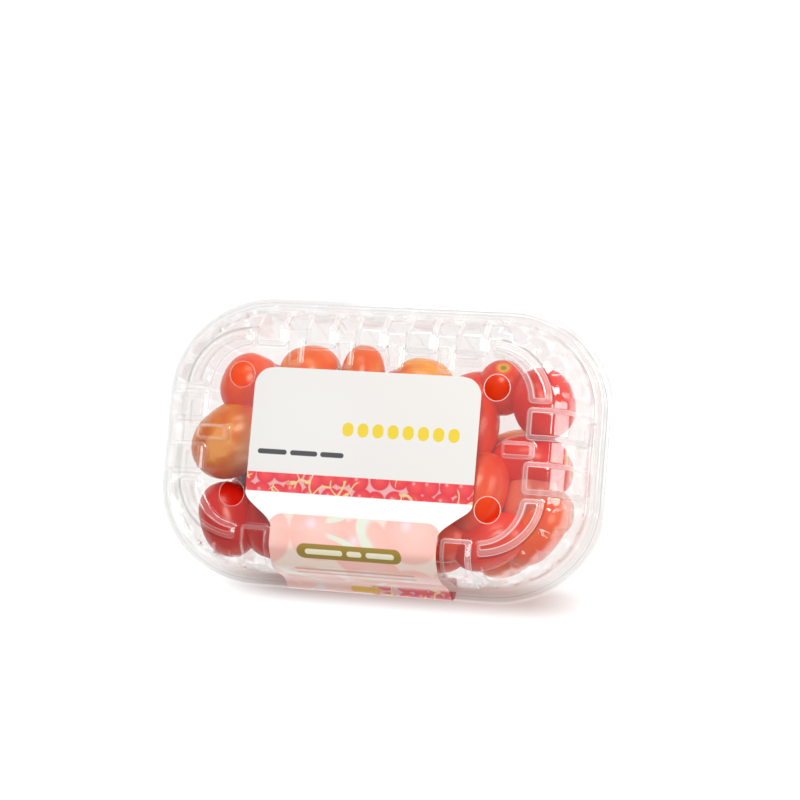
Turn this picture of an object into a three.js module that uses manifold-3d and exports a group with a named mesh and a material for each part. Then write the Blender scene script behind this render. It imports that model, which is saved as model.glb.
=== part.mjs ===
// A shut clear punnet of cherry plum tomatoes, lying on its base with the lid up.
// Millimetres, +Z up. The origin is the centre of the tray's underside, X runs along the long side
// and -Y is the front, where the label's tab folds down over the rim.
import * as THREE from "three";
import { mergeVertices } from "three/addons/utils/BufferGeometryUtils.js";
import Module from "manifold-3d";

const wasm = await Module();
wasm.setup();

// ---------------------------------------------------------------- driving dimensions
const RIM_HALF_LENGTH = 95;
const RIM_HALF_WIDTH = 59.5;
const TRAY_HEIGHT = 45; // base to the top of the tray's rim
const LID_HEIGHT = 27; // rim to the flat top of the lid
const SHEET = 0.6; // thickness of the formed sheet
const GAP = 0.3; // between pieces that touch
const CORNER = { x: 50, y: 18.5 }; // every level's corner arcs are drawn round these four points

const RIB = { rise: 2, ramp: 1.8 }; // raised panels of lid and tray: their height and their sloping edge
const LONG_SIDE_RIBS = { centres: [-42, -21, 0, 21, 42], halfWidth: 6.3 };
const SHORT_SIDE_RIBS = { centres: [-10.7, 10.7], halfWidth: 6.4 };
const CORNER_RIBS = { centres: [12, 34, 56, 78], halfWidth: 8, ramp: 2.5 }; // degrees round the corner
const CORNER_ARC = { from: 1, to: 89, ramp: 3 }; // degrees: the long curved panel on the lid's top

const VENT = { x: 53.5, y: 24.2, radius: 5.3 };
const PILL = { x: 64, length: 13.5, width: 6.8, rise: 2.4 };
const BAR = { centres: [-31.5, -10.5, 10.5, 31.5], near: 28.6, far: 40, width: 6.2, rise: 1.5 };

const LABEL = { halfWidth: 47.5, rear: 27.8, front: -30.8, cornerRadius: 8, thickness: 0.3 };
const TAB_HALF_WIDTH = 35;

const TRAY_GROOVE = { xs: [-50, -25, 25, 50], halfLength: 27, width: 7, depth: 2.5 };

// ---------------------------------------------------------------- solids
// A closed three.js geometry as a solid, and back.
function solid(geometry) {
  const bare = geometry.clone();
  bare.deleteAttribute("normal");
  bare.deleteAttribute("uv");
  const merged = mergeVertices(bare, 1e-4);
  return new wasm.Manifold(
    new wasm.Mesh({
      numProp: 3,
      vertProperties: merged.attributes.position.array,
      triVerts: new Uint32Array(merged.index.array),
    }),
  );
}

function geometryOf(made) {
  const { numProp, vertProperties, triVerts } = made.getMesh();
  const positions = new Float32Array((vertProperties.length / numProp) * 3);
  for (let i = 0; i < positions.length / 3; i++) {
    positions.set(vertProperties.subarray(i * numProp, i * numProp + 3), i * 3);
  }
  return new THREE.BufferGeometry()
    .setAttribute("position", new THREE.BufferAttribute(positions, 3))
    .setIndex(new THREE.BufferAttribute(triVerts, 1));
}

// A closed skin over rows of points, all of one length. Row after row climbs the outside.
function skin(rows) {
  const count = rows[0].length;
  const middle = (row) =>
    row.reduce((sum, p) => sum.add(p), new THREE.Vector3()).divideScalar(count);
  const points = [...rows.flat(), middle(rows[0]), middle(rows.at(-1))];
  const foot = points.length - 2;
  const head = points.length - 1;
  const faces = [];
  for (let j = 0; j < count; j++) {
    const next = (j + 1) % count;
    faces.push(foot, next, j);
    for (let i = 0; i + 1 < rows.length; i++) {
      const low = i * count;
      const high = low + count;
      faces.push(low + j, low + next, high + next, low + j, high + next, high + j);
    }
    const last = (rows.length - 1) * count;
    faces.push(head, last + j, last + next);
  }
  return new THREE.BufferGeometry().setFromPoints(points).setIndex(faces);
}

// ---------------------------------------------------------------- the outline and its ribs
// A station is one place on the outline: where it lies for a level's half length and half width,
// which way is out, and how high each kind of panel stands there, from 0 to 1.
function panelHeight(place, { centres, halfWidth, ramp = RIB.ramp }) {
  const inside = Math.max(...centres.map((centre) => halfWidth - Math.abs(place - centre)));
  return THREE.MathUtils.clamp(inside / ramp, 0, 1);
}

function panelEdges({ centres, halfWidth, ramp = RIB.ramp }) {
  return centres.flatMap((c) => [c - halfWidth, c - halfWidth + ramp, c + halfWidth - ramp, c + halfWidth]);
}

const ARC_PANEL = {
  centres: [(CORNER_ARC.from + CORNER_ARC.to) / 2],
  halfWidth: (CORNER_ARC.to - CORNER_ARC.from) / 2,
  ramp: CORNER_ARC.ramp,
};

function sideStations() {
  const long = panelEdges(LONG_SIDE_RIBS).map((x) => ({ side: "long", place: x }));
  const short = panelEdges(SHORT_SIDE_RIBS).map((y) => ({ side: "short", place: y }));
  const corner = [...new Set([...panelEdges(CORNER_RIBS), ...panelEdges(ARC_PANEL)])]
    .sort((a, b) => a - b)
    .map((angle) => ({ side: "corner", place: angle }));
  return { long, short, corner };
}

// Once round, counterclockwise seen from above, from the right-hand side's front end.
function outlineStations() {
  const { long, short, corner } = sideStations();
  const turn = (list, sx, sy, backwards) =>
    (backwards ? [...list].reverse() : list).map((station) => ({ ...station, sx, sy }));
  return [
    ...turn(short, 1, 1, false),
    ...turn(corner, 1, 1, false),
    ...turn(long, 1, 1, true),
    ...turn(corner, -1, 1, true),
    ...turn(short, -1, 1, true),
    ...turn(corner, -1, -1, false),
    ...turn(long, 1, -1, false),
    ...turn(corner, 1, -1, true),
  ];
}

const STATIONS = outlineStations();

function outlinePoint({ side, place, sx, sy }, halfLength, halfWidth, z) {
  if (side === "long") return new THREE.Vector3(place, sy * halfWidth, z);
  if (side === "short") return new THREE.Vector3(sx * halfLength, place, z);
  const angle = THREE.MathUtils.degToRad(place);
  return new THREE.Vector3(
    sx * (CORNER.x + (halfLength - CORNER.x) * Math.cos(angle)),
    sy * (CORNER.y + (halfWidth - CORNER.y) * Math.sin(angle)),
    z,
  );
}

function outward({ side, place, sx, sy }) {
  if (side === "long") return new THREE.Vector3(0, sy, 0);
  if (side === "short") return new THREE.Vector3(sx, 0, 0);
  const angle = THREE.MathUtils.degToRad(place);
  return new THREE.Vector3(sx * Math.cos(angle), sy * Math.sin(angle), 0);
}

// How far the sheet stands proud at a station: side ribs by the level's `ribs`, which goes
// straight on round the corner as `cornerRibs`, and the corner's long panel by `arc`.
function panelRise(station, { ribs = 0, cornerRibs = 0, arc = 0 }) {
  if (station.side === "long") return RIB.rise * ribs * panelHeight(station.place, LONG_SIDE_RIBS);
  if (station.side === "short") return RIB.rise * ribs * panelHeight(station.place, SHORT_SIDE_RIBS);
  return (
    RIB.rise *
    Math.max(
      cornerRibs * panelHeight(station.place, CORNER_RIBS),
      arc * panelHeight(station.place, ARC_PANEL),
    )
  );
}

// One row of the skin. A level has its half length and half width, its height, and `out` and `up`,
// the direction in which its panels rise.
function levelRow(level) {
  return STATIONS.map((station) => {
    const rise = panelRise(station, level);
    const point = outlinePoint(station, level.length, level.width, level.z);
    point.addScaledVector(outward(station), rise * (level.out ?? 0));
    point.z += rise * (level.up ?? 0);
    return point;
  });
}

// ---------------------------------------------------------------- the lid
const LID_BASE = TRAY_HEIGHT + GAP;
const LID_TOP = TRAY_HEIGHT + LID_HEIGHT;

// The lid's wall on one face of the sheet, from its foot at the rim up to the broad bevel at its
// shoulder and over that to the flat top: `inset` is 0 outside and one sheet inside.
const lidWall = (inset) => [
  { length: 86.8 - inset, width: 53.4 - inset, z: LID_BASE + SHEET + 0.3 },
  { length: 85.8 - inset, width: 52.4 - inset, z: LID_BASE + 4, ribs: 1, cornerRibs: 1, out: 0.94, up: 0.34 },
  { length: 82.4 - inset, width: 49.6 - inset, z: LID_TOP - 4.6, ribs: 1, cornerRibs: 1, out: 0.8, up: 0.5 },
  { length: 77, width: 43.8, z: LID_TOP - inset, ribs: 1, cornerRibs: 0.3, out: 0.3, up: 0.95 },
  { length: 74, width: 39.8, z: LID_TOP - inset, ribs: 1, arc: 1, up: 1 },
  { length: 68.6, width: 38.3, z: LID_TOP - inset, ribs: 1, arc: 1, up: 1 },
  { length: 66.8, width: 36.5, z: LID_TOP - inset },
];

// The lid's rim, with a bead along its middle.
const LID_RIM = [
  { length: RIM_HALF_LENGTH, width: RIM_HALF_WIDTH, z: LID_BASE },
  { length: RIM_HALF_LENGTH, width: RIM_HALF_WIDTH, z: LID_BASE + SHEET },
  { length: 91, width: 56.3, z: LID_BASE + SHEET + 1.1 },
  { length: 89.2, width: 55, z: LID_BASE + SHEET },
];

// A raised boss with rounded ends on the lid's top, reaching `below` under it.
function boss(length, width, rise, below) {
  const radius = Math.min(length, width) * 0.36;
  const slope = 1.1; // how far the boss's sides lean in
  const arcSteps = [0, 1];
  const outline = [0, 1, 2, 3].flatMap((quarter) =>
    arcSteps.map((step) => {
      const angle = (quarter + step / (arcSteps.length - 1)) * (Math.PI / 2);
      const [sx, sy] = [quarter === 0 || quarter === 3 ? 1 : -1, quarter < 2 ? 1 : -1];
      return {
        x: sx * (length / 2 - radius) + radius * Math.cos(angle),
        y: sy * (width / 2 - radius) + radius * Math.sin(angle),
      };
    }),
  );
  const row = (inset, z) =>
    outline.map((p) => new THREE.Vector3(p.x * (1 - (2 * inset) / length), p.y * (1 - (2 * inset) / width), z));
  return skin([row(0, -below), row(0, 0), row(slope, rise)]);
}

function lidBosses(shrink, drop, below) {
  const pill = boss(PILL.length - shrink, PILL.width - shrink, PILL.rise - drop, below);
  const bar = boss(BAR.width - shrink, BAR.far - BAR.near - shrink, BAR.rise - drop, below);
  const places = [-1, 1].flatMap((side) => [
    pill.clone().translate(side * PILL.x, 0, LID_TOP),
    ...BAR.centres.map((x) => bar.clone().translate(x, (side * (BAR.near + BAR.far)) / 2, LID_TOP)),
  ]);
  return places.map(solid);
}

function lidGeometry() {
  const outside = lidBosses(0, 0, SHEET / 2).reduce(
    (body, piece) => body.add(piece),
    solid(skin([...LID_RIM, ...lidWall(0)].map(levelRow))),
  );
  const [foot, ...wall] = lidWall(SHEET);
  const inside = lidBosses(2 * SHEET, SHEET, 2 * SHEET).reduce(
    (body, piece) => body.add(piece),
    solid(skin([{ ...foot, z: LID_BASE - 1 }, ...wall].map(levelRow))),
  );
  const vent = new THREE.CylinderGeometry(VENT.radius, VENT.radius, 4 * SHEET, 16).rotateX(Math.PI / 2);
  const vents = [-1, 1].flatMap((sx) =>
    [-1, 1].map((sy) => solid(vent.clone().translate(sx * VENT.x, sy * VENT.y, LID_TOP))),
  );
  return geometryOf(vents.reduce((body, hole) => body.subtract(hole), outside.subtract(inside)));
}

// ---------------------------------------------------------------- the tray
// The tray's wall on one face of the sheet, from the base up to the rim.
const trayWall = (inset) => [
  { length: 71 - inset, width: 40 - inset, z: inset },
  { length: 74.4 - inset, width: 43.4 - inset, z: 4, ribs: 1, cornerRibs: 1, out: 0.5 },
  { length: 84.8 - inset, width: 51.4 - inset, z: TRAY_HEIGHT - 5, ribs: 1, cornerRibs: 1, out: 0.8 },
  { length: 86.8 - inset, width: 53.4 - inset, z: TRAY_HEIGHT - SHEET },
];

const TRAY_RIM = [
  { length: 93.4, width: 58, z: TRAY_HEIGHT - SHEET },
  { length: 94.2, width: 58.7, z: TRAY_HEIGHT - 3 },
  { length: RIM_HALF_LENGTH, width: RIM_HALF_WIDTH, z: TRAY_HEIGHT - 3 },
  { length: RIM_HALF_LENGTH, width: RIM_HALF_WIDTH, z: TRAY_HEIGHT },
];

// The base is stiffened by grooves across it, pressed up into the tray.
function baseGrooves(grow) {
  const { xs, halfLength, width, depth } = TRAY_GROOVE;
  return xs.map((x) => {
    const groove = new THREE.BoxGeometry(width + 2 * grow, 2 * (halfLength + grow), 2 * (depth + grow));
    return solid(groove.translate(x, 0, 0));
  });
}

function trayGeometry() {
  const cut = (body, piece) => body.subtract(piece);
  const outside = baseGrooves(0).reduce(cut, solid(skin([...trayWall(0), ...TRAY_RIM].map(levelRow))));
  const wall = trayWall(SHEET);
  const mouth = { ...wall.pop(), z: TRAY_HEIGHT + 1 };
  const inside = baseGrooves(SHEET).reduce(cut, solid(skin([...wall, mouth].map(levelRow))));
  return geometryOf(outside.subtract(inside));
}

// ---------------------------------------------------------------- the label
// Its underside from the rear edge to the tab's end, as (y, z): flat on the lid, up over the
// front bars, down the shoulder and the wall in a stiff bow, round the rim and a little way in under it.
const LABEL_PATH = [
  [LABEL.rear, LID_TOP + GAP],
  [-24.5, LID_TOP + GAP],
  [-28.2, LID_TOP + BAR.rise + GAP],
  [-36.5, LID_TOP + RIB.rise + GAP],
  [-44.6, LID_TOP + RIB.rise + GAP],
  [-51.9, LID_TOP - 3.4],
  [-54.2, LID_TOP - 10],
  [-55.2, LID_TOP - 18],
  [-56.8, LID_BASE + 4.3],
  [-RIM_HALF_WIDTH - GAP, LID_BASE + 1.2],
  [-RIM_HALF_WIDTH - GAP, TRAY_HEIGHT - 3.2],
  [-RIM_HALF_WIDTH + 1.2, TRAY_HEIGHT - 4.4],
  [-56.2, TRAY_HEIGHT - 5],
];

// The label's half width at a distance y from the lid's middle, with rounded corners at its wide part.
function labelHalfWidth(y) {
  const { halfWidth, rear, front, cornerRadius: r } = LABEL;
  const intoCorner = Math.max(y - (rear - r), front + r - y, 0);
  if (intoCorner <= r) return Math.max(TAB_HALF_WIDTH, halfWidth - r + Math.sqrt(r * r - intoCorner ** 2));
  return TAB_HALF_WIDTH;
}

function labelRows() {
  const rows = [];
  const arc = [0, 0.3, 0.6, 0.85, 1].map((share) => share * LABEL.cornerRadius);
  const flat = [
    ...arc.map((d) => LABEL.rear - d),
    ...arc.map((d) => LABEL.front + LABEL.cornerRadius - d),
    ...LABEL_PATH.slice(1).map(([y]) => y),
  ];
  for (let i = 0; i + 1 < LABEL_PATH.length; i++) {
    const [[y0, z0], [y1, z1]] = [LABEL_PATH[i], LABEL_PATH[i + 1]];
    const steps = y0 > -36 ? flat.filter((y) => y < y0 && y > y1) : [];
    for (const y of [y0, ...steps.sort((a, b) => b - a)]) {
      rows.push({ y, z: z0 + ((z1 - z0) * (y0 - y)) / Math.max(y0 - y1, 1e-6) });
    }
  }
  const [y, z] = LABEL_PATH.at(-1);
  return [...rows, { y, z }];
}

function labelGeometry() {
  const rows = labelRows();
  const along = (i) => {
    const [a, b] = [rows[Math.max(i - 1, 0)], rows[Math.min(i + 1, rows.length - 1)]];
    return new THREE.Vector2(b.y - a.y, b.z - a.z).normalize();
  };
  const loops = rows.map(({ y, z }, i) => {
    const run = along(i);
    const half = y < LABEL.front || z < LID_TOP ? TAB_HALF_WIDTH : labelHalfWidth(y);
    const [up, back] = [-run.x * LABEL.thickness, run.y * LABEL.thickness];
    return [
      new THREE.Vector3(half, y, z),
      new THREE.Vector3(half, y + back, z + up),
      new THREE.Vector3(-half, y + back, z + up),
      new THREE.Vector3(-half, y, z),
    ];
  });
  return skin(loops);
}

// ---------------------------------------------------------------- the tomatoes
const TOMATO = { length: 31, girth: 24, clearance: 0.8 };
const SEED = 7;

// A small seeded random number generator, from 0 to 1.
function seededRandom(seed) {
  let state = seed;
  return () => {
    state = (Math.imul(state, 1664525) + 1013904223) >>> 0;
    return state / 2 ** 32;
  };
}

// The tomatoes seen through the lid: place, heading and tilt in degrees, length and girth.
const TOP_LAYER = [
  { x: -55.5, y: 21.5, z: 56, heading: 70, length: 27, girth: 24 }, // rear left corner
  { x: -60.5, y: -1, z: 56, heading: 40, length: 38, girth: 29 }, // the big olive one
  { x: -64, y: -37.5, z: 50, heading: 112, length: 32, girth: 23.5 }, // front left corner
  { x: -42.5, y: -34.5, z: 53, heading: 95, length: 28, girth: 21 },
  { x: -29.5, y: 27, z: 57, heading: 10, length: 26, girth: 24 }, // behind the label
  { x: -7, y: 27, z: 57, heading: 90, length: 27, girth: 18 },
  { x: 19, y: 26, z: 57, heading: 170, length: 25, girth: 20 },
  { x: 38, y: 21, z: 50, heading: 20, length: 30, girth: 22 },
  { x: 50.3, y: 26.5, z: 51, heading: 75, tilt: 50, length: 24, girth: 20 }, // rear right corner, on end
  { x: 68.8, y: 20.5, z: 56, heading: 112, length: 29, girth: 25 },
  { x: 63, y: -2, z: 49, heading: 5, length: 32, girth: 21 },
  { x: 40, y: 8, z: 56, heading: 80, length: 32, girth: 22 },
  { x: 45.5, y: -16.5, z: 57.5, heading: 76, length: 34, girth: 23 }, // the orange one
  { x: 63, y: -17, z: 46, heading: 75, length: 28, girth: 22 },
  { x: 51, y: -35.5, z: 53, heading: 28, length: 33, girth: 21 }, // front right corner
  { x: 66, y: -29, z: 45, heading: 55, length: 33, girth: 23 },
  { x: 29, y: -34, z: 54, heading: 165, length: 30, girth: 22 },
  { x: -33, y: 2, z: 56, heading: 70, length: 31, girth: 24 }, // under the label
  { x: -28, y: -21, z: 56, heading: 20, length: 31, girth: 23 },
  { x: -9, y: 0, z: 55, heading: 100, length: 30, girth: 24 },
  { x: -11, y: -33, z: 54, heading: 5, length: 31, girth: 22 },
  { x: 15, y: -3, z: 56, heading: 30, length: 31, girth: 24 },
  { x: 10, y: -23, z: 55, heading: 150, length: 31, girth: 23 },
];

// The layers below lie in rows, turned and shifted a little. Where the heap has a gap that runs
// right through it, from one height to another, they leave out what would close it.
const LOWER_LAYERS = [
  { z: 36, rows: 4, columns: 5, rowPitch: 21.5, columnPitch: 29.5, y: -10.5 },
  { z: 16.2, rows: 3, columns: 4, rowPitch: 26, columnPitch: 34, y: -3 },
];
const HEAP_GAP = { top: new THREE.Vector3(60.4, 13.8, 72), foot: new THREE.Vector3(41.7, 20.8, 0), radius: 4.5 };
const CORE_SHIFT = -14; // the heap's core stays to the left of the gap

// The free space inside the pack at a height, as a half length and half width.
function cavityAt(z) {
  const walls = [...trayWall(0), ...lidWall(0).slice(1)];
  const above = walls.findIndex((level) => level.z >= z);
  const [a, b] = [walls[Math.max(above - 1, 0)], walls[Math.max(above, 0)]];
  const share = a === b ? 0 : (z - a.z) / (b.z - a.z);
  return {
    length: THREE.MathUtils.lerp(a.length, b.length, share) - SHEET - TOMATO.clearance,
    width: THREE.MathUtils.lerp(a.width, b.width, share) - SHEET - TOMATO.clearance,
  };
}

// Moves a tomato in from the wall until points round its girth are all inside the cavity.
function movedInside(tomato) {
  const { heading, tilt = 0, girth } = tomato;
  const turn = THREE.MathUtils.degToRad(heading);
  const lean = THREE.MathUtils.degToRad(tilt);
  const length = Math.hypot(tomato.length * Math.cos(lean), girth * Math.sin(lean));
  const place = { x: tomato.x, y: tomato.y };
  for (let step = 0; step < 60; step++) {
    const push = { x: 0, y: 0 };
    for (const height of [-0.45, 0, 0.45]) {
      const room = cavityAt(tomato.z + height * girth);
      const share = Math.sqrt(1 - (2 * height) ** 2);
      for (let k = 0; k < 16; k++) {
        const angle = (k / 16) * 2 * Math.PI;
        const [along, across] = [Math.cos(angle) * (length / 2) * share, Math.sin(angle) * (girth / 2) * share];
        const x = place.x + along * Math.cos(turn) - across * Math.sin(turn);
        const y = place.y + along * Math.sin(turn) + across * Math.cos(turn);
        const u = Math.max(Math.abs(x) - CORNER.x, 0) / (room.length - CORNER.x);
        const v = Math.max(Math.abs(y) - CORNER.y, 0) / (room.width - CORNER.y);
        const over = Math.hypot(u, v) - 1;
        if (over > 0) {
          push.x = Math.abs(push.x) > over * u ? push.x : -Math.sign(x) * over * u;
          push.y = Math.abs(push.y) > over * v ? push.y : -Math.sign(y) * over * v;
        }
      }
    }
    place.x += push.x * 12;
    place.y += push.y * 12;
  }
  return { ...tomato, ...place };
}

function closesGap({ x, y, z, heading, length, girth }) {
  const { top, foot, radius } = HEAP_GAP;
  const gap = top.clone().lerp(foot, (top.z - z) / (top.z - foot.z));
  const away = new THREE.Vector2(gap.x - x, gap.y - y);
  away.rotateAround(new THREE.Vector2(), -THREE.MathUtils.degToRad(heading));
  return Math.hypot(away.x / (length / 2 + radius), away.y / (girth / 2 + radius)) < 1;
}

function allTomatoes() {
  const random = seededRandom(SEED);
  const spread = (range) => (random() - 0.5) * 2 * range;
  const lower = LOWER_LAYERS.flatMap(({ z, rows, columns, rowPitch, columnPitch, y }) =>
    Array.from({ length: rows * columns }, (_, i) => {
      const row = Math.floor(i / columns);
      const shift = row % 2 ? 0.2 : -0.2;
      return {
        x: ((i % columns) - (columns - 1) / 2 + shift) * columnPitch + spread(1.5),
        y: y + (row - (rows - 1) / 2) * rowPitch + spread(1.5),
        z: z + spread(0.5),
        heading: spread(35),
        length: TOMATO.length + spread(2),
        girth: TOMATO.girth - 0.5 + spread(1),
      };
    }),
  );
  return [...TOP_LAYER.map(movedInside), ...lower.map(movedInside).filter((tomato) => !closesGap(tomato))];
}

function tomatoSolid({ x, y, z, heading, tilt = 0, length, girth }) {
  const tomato = new THREE.SphereGeometry(0.5, 7, 5).rotateZ(Math.PI / 2);
  tomato.scale(length, girth, girth).rotateY(-THREE.MathUtils.degToRad(tilt));
  tomato.rotateZ(THREE.MathUtils.degToRad(heading));
  return solid(tomato.translate(x, y, z));
}

// The heap is a plain core with every tomato joined to it. Hollows between them are filled.
function heapGeometry() {
  const core = [
    { length: 52, width: 28, z: 9 },
    { length: 56, width: 34, z: 36 },
    { length: 52, width: 32, z: 58 },
  ];
  const heap = allTomatoes().reduce(
    (body, tomato) => body.add(tomatoSolid(tomato)),
    solid(skin(core.map(levelRow)).translate(CORE_SHIFT, 0, 0)),
  );
  const bodies = heap.decompose();
  return geometryOf(bodies.reduce((best, body) => (body.volume() > best.volume() ? body : best)));
}

// ---------------------------------------------------------------- the whole pack
const clearPlastic = () =>
  new THREE.MeshStandardMaterial({ color: 0xeef3f0, roughness: 0.08, metalness: 0, transparent: true, opacity: 0.3 });
const labelPaper = () => new THREE.MeshStandardMaterial({ color: 0xf1eeea, roughness: 0.3, metalness: 0 });
const tomatoSkin = () => new THREE.MeshStandardMaterial({ color: 0xd42a1c, roughness: 0.25, metalness: 0 });

function piece(name, geometry, material) {
  const mesh = new THREE.Mesh(geometry, material);
  mesh.name = name;
  return mesh;
}

const punnet = new THREE.Group();
punnet.add(
  piece("tray", trayGeometry(), clearPlastic()),
  piece("lid", lidGeometry(), clearPlastic()),
  piece("label", labelGeometry(), labelPaper()),
  piece("tomatoes", heapGeometry(), tomatoSkin()),
);

export default punnet;
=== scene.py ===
"""A shut clear punnet of cherry plum tomatoes, sealed by a printed label that folds down over its front rim.

The pack lies on its base with the lid up. Its sizes are in millimetres, and MM turns them into metres.
X runs along the long side, -Y is the front and +Z is up.
"""
import math

import bpy
from mathutils import Matrix, Vector


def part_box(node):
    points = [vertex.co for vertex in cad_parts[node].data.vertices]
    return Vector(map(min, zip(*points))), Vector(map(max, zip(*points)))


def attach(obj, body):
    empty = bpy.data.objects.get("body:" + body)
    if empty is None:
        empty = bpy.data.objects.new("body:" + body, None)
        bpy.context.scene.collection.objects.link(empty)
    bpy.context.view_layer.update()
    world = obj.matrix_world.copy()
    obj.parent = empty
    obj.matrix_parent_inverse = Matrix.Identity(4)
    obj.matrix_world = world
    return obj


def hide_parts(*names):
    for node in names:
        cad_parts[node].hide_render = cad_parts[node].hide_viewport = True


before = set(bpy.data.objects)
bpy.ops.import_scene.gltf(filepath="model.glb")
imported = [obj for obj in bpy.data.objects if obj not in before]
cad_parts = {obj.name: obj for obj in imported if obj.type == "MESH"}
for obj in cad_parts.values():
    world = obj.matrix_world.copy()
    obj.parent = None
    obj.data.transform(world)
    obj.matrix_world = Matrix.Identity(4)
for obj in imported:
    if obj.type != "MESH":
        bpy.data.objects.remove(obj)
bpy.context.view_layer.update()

# ---------------------------------------------------------------- the tray
# The clear lower half: PET sheet drawn warm over a mould, so that its ribs, its rim and the grooves across
# its base are all one sheet of 0.5 mm. It holds the fruit, and the lid snaps on over its turned-down rim.
MM = 0.001
RIM_LENGTH, RIM_WIDTH, TRAY_TOP = (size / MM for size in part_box("tray")[1])  # the halves, and the height
CORNER_X, CORNER_Y = 50, 18.5  # all corner arcs are drawn round these four points
FILM, PET_INDEX = 0.5, 1.5
TRAY_STATION_STEP, TRAY_LEVEL_STEP = 0.85, 1.0  # between points round the outline, and rows up the wall
# A bend's fine line is painted shade, standing in for the dark refraction where the film bends.
BEND_LINE = 0.88  # how near a bend's line comes to the full grey of a panel's edge
TOLERANCE, MERGE_DISTANCE = 0.01, 0.01

RIB_RISE, RIB_RAMP, RIB_CORNER = 2.0, 1.8, 1.6  # height, width of the sloping edge, rounding of its corners
CORNER_RIB_RISE, CORNER_RIB_RAMP = 1.5, 1.1
LONG_SIDE_RIBS, LONG_RIB_HALF = (-42, -21, 0, 21, 42), 6.3
SHORT_SIDE_RIBS, SHORT_RIB_HALF = (-10.7, 10.7), 6.4
CORNER_RIBS, CORNER_RIB_HALF = (12, 34, 56, 78), 8  # degrees round the corner

TRAY_GROOVES, GROOVE_HALF_LENGTH, GROOVE_HALF_WIDTH, GROOVE_DEPTH = (-50, -25, 25, 50), 27, 3.5, 2.5


def mixed(a, b, share):
    return a + (b - a) * share


def smooth(share):
    """0 below 0, 1 above 1, and a soft slope between."""
    share = min(max(share, 0), 1)
    return share * share * (3 - 2 * share)


def both(room_a, room_b, corner=RIB_CORNER):
    """Room inside two edges at once, with the corner between them rounded."""
    nearest = min(room_a, room_b)
    if nearest > corner or nearest < -corner:
        return nearest
    return corner - math.hypot(max(corner - room_a, 0), max(corner - room_b, 0))


def around_pack(step):
    """Stations once round the outline, counterclockwise: side, place on it, which half in x and in y."""

    def places(start, end, length):
        count = round(length / step)
        return [mixed(start, end, i / count) for i in range(count)]

    quarter = [("short", y) for y in places(0, CORNER_Y, CORNER_Y)]
    quarter += [("corner", angle) for angle in places(0, 90, 32)]
    quarter += [("long", x) for x in places(CORNER_X, 0, CORNER_X)] + [("long", 0)]
    stations = []
    for sx, sy, there in ((1, 1, True), (-1, 1, False), (-1, -1, True), (1, -1, False)):
        part = quarter[:-1] if there else quarter[:0:-1]
        stations += [(side, place, sx, sy) for side, place in part]
    return stations


def on_outline(station, length, width):
    """The point of a station on the outline of that half length and half width, and its way out."""
    side, place, sx, sy = station
    if side == "long":
        return Vector((sx * place, sy * width)), Vector((0, sy))
    if side == "short":
        return Vector((sx * length, sy * place)), Vector((sx, 0))
    c, s = math.cos(math.radians(place)), math.sin(math.radians(place))
    round_corner = Vector((CORNER_X + (length - CORNER_X) * c, CORNER_Y + (width - CORNER_Y) * s))
    return Vector((sx * round_corner.x, sy * round_corner.y)), Vector((sx * c, sy * s))


def panel_room(station, length, centres, half):
    """How far a station lies inside the nearest panel of a row, in mm."""
    side, place, sx, sy = station
    if side == "corner":
        per_degree = math.radians(1) * (length - CORNER_X)
        return max(half - abs(place - centre) for centre in centres) * per_degree
    place *= sx if side == "long" else sy
    return max(half - abs(place - centre) for centre in centres)


def rib_relief(station, level):
    """The room inside the nearest rib's edge in widths of its slope, and how high such a rib stands."""
    rooms = {
        "long": (LONG_SIDE_RIBS, LONG_RIB_HALF, level["ribs"]),
        "short": (SHORT_SIDE_RIBS, SHORT_RIB_HALF, level["ribs"]),
        "corner": (CORNER_RIBS, CORNER_RIB_HALF, level["corner_ribs"]),
    }
    centres, half, end_room = rooms[station[0]]
    room = both(panel_room(station, level["length"], centres, half), end_room)
    if station[0] == "corner":
        return room / CORNER_RIB_RAMP, CORNER_RIB_RISE
    return room / RIB_RAMP, RIB_RISE


def mould_profile(controls, step, rounding=3):
    """Levels at even steps along straight runs between the controls, their corners rounded by averaging."""
    rows = []
    for a, b in zip(controls, controls[1:]):
        run = math.dist((a["length"], a["z"]), (b["length"], b["z"]))
        run = max(run, math.dist((a["width"], a["z"]), (b["width"], b["z"])))
        count = max(round(run / step), 1)
        steps = [{key: mixed(a[key], b[key], i / count) for key in a} for i in range(count)]
        for i, row in enumerate(steps):
            row["bend"] = 0 if i else a["bend"]
        rows += steps
    rows.append(dict(controls[-1]))
    for _ in range(rounding):
        inner = [{key: (a[key] + 2 * b[key] + c[key]) / 4 for key in b}
                 for a, b, c in zip(rows, rows[1:], rows[2:])]
        rows = [rows[0], *inner, rows[-1]]
    sharpest = max(row["bend"] for row in rows)
    return [{**row, "bend": BEND_LINE * row["bend"] / sharpest} for row in rows]


def level(length, width, z, ribs=-9, corner_ribs=-9, arc=-9, out=0, up=0, bend=0):
    """A control of the profile. ribs, corner_ribs and arc are the room inside such a panel's end. out and
    up are the direction in which panels rise there. bend is 1 where a sharp bend gets a fine painted dark
    line."""
    return {"length": length, "width": width, "z": z, "ribs": ribs, "corner_ribs": corner_ribs, "arc": arc,
            "out": out, "up": up, "bend": bend}


def deselect_all():
    bpy.ops.object.select_all(action="DESELECT")


def select_only(piece):
    deselect_all()
    piece.select_set(True)
    bpy.context.view_layer.objects.active = piece


def apply_modifier(piece, kind, **settings):
    select_only(piece)
    modifier = piece.modifiers.new(kind.title(), kind)
    for key, value in settings.items():
        setattr(modifier, key, value)
    bpy.ops.object.modifier_apply(modifier=modifier.name)


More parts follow.
